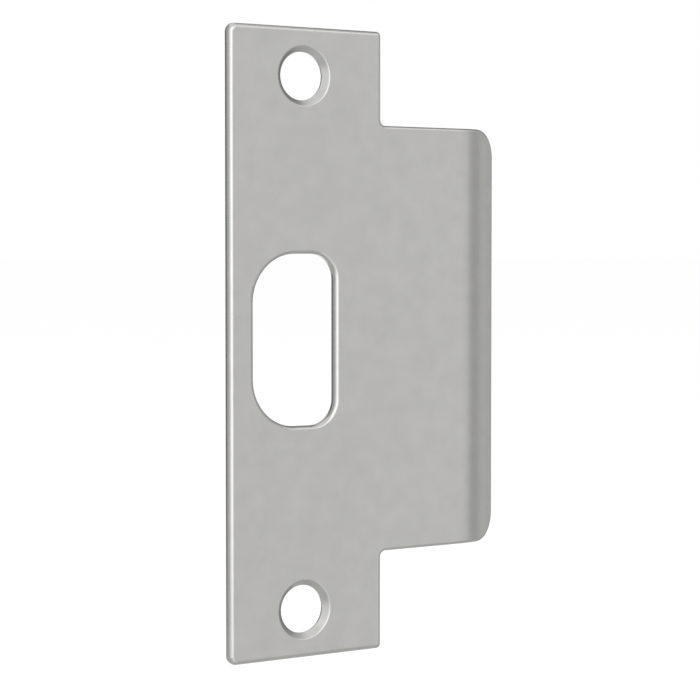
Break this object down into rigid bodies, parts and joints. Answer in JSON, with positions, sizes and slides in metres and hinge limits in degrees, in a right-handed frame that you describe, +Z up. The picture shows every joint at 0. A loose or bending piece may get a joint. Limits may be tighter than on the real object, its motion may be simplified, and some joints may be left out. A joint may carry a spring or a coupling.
{
  "type": "door strike plate",
  "caption": "Flat upright strike plate with a rounded latch hole, countersunk screw holes and a wide lip that curves back at its free end.",
  "frame": {"origin": "on the back (mounting) face, midway between the two screw holes", "axes": "+Z up the plate through both screw holes, +X towards the lip, +Y into the door frame, so the visible front faces -Y"},
  "size_m": [0.0644, 0.0041, 0.1238],
  "materials": {
    "satin_steel": "satin stainless steel with a fine even grain, brighter at the rolled edges"
  },
  "bodies": {
    "root": {"strike_plate": "satin_steel"}
  },
  "joints": []
}
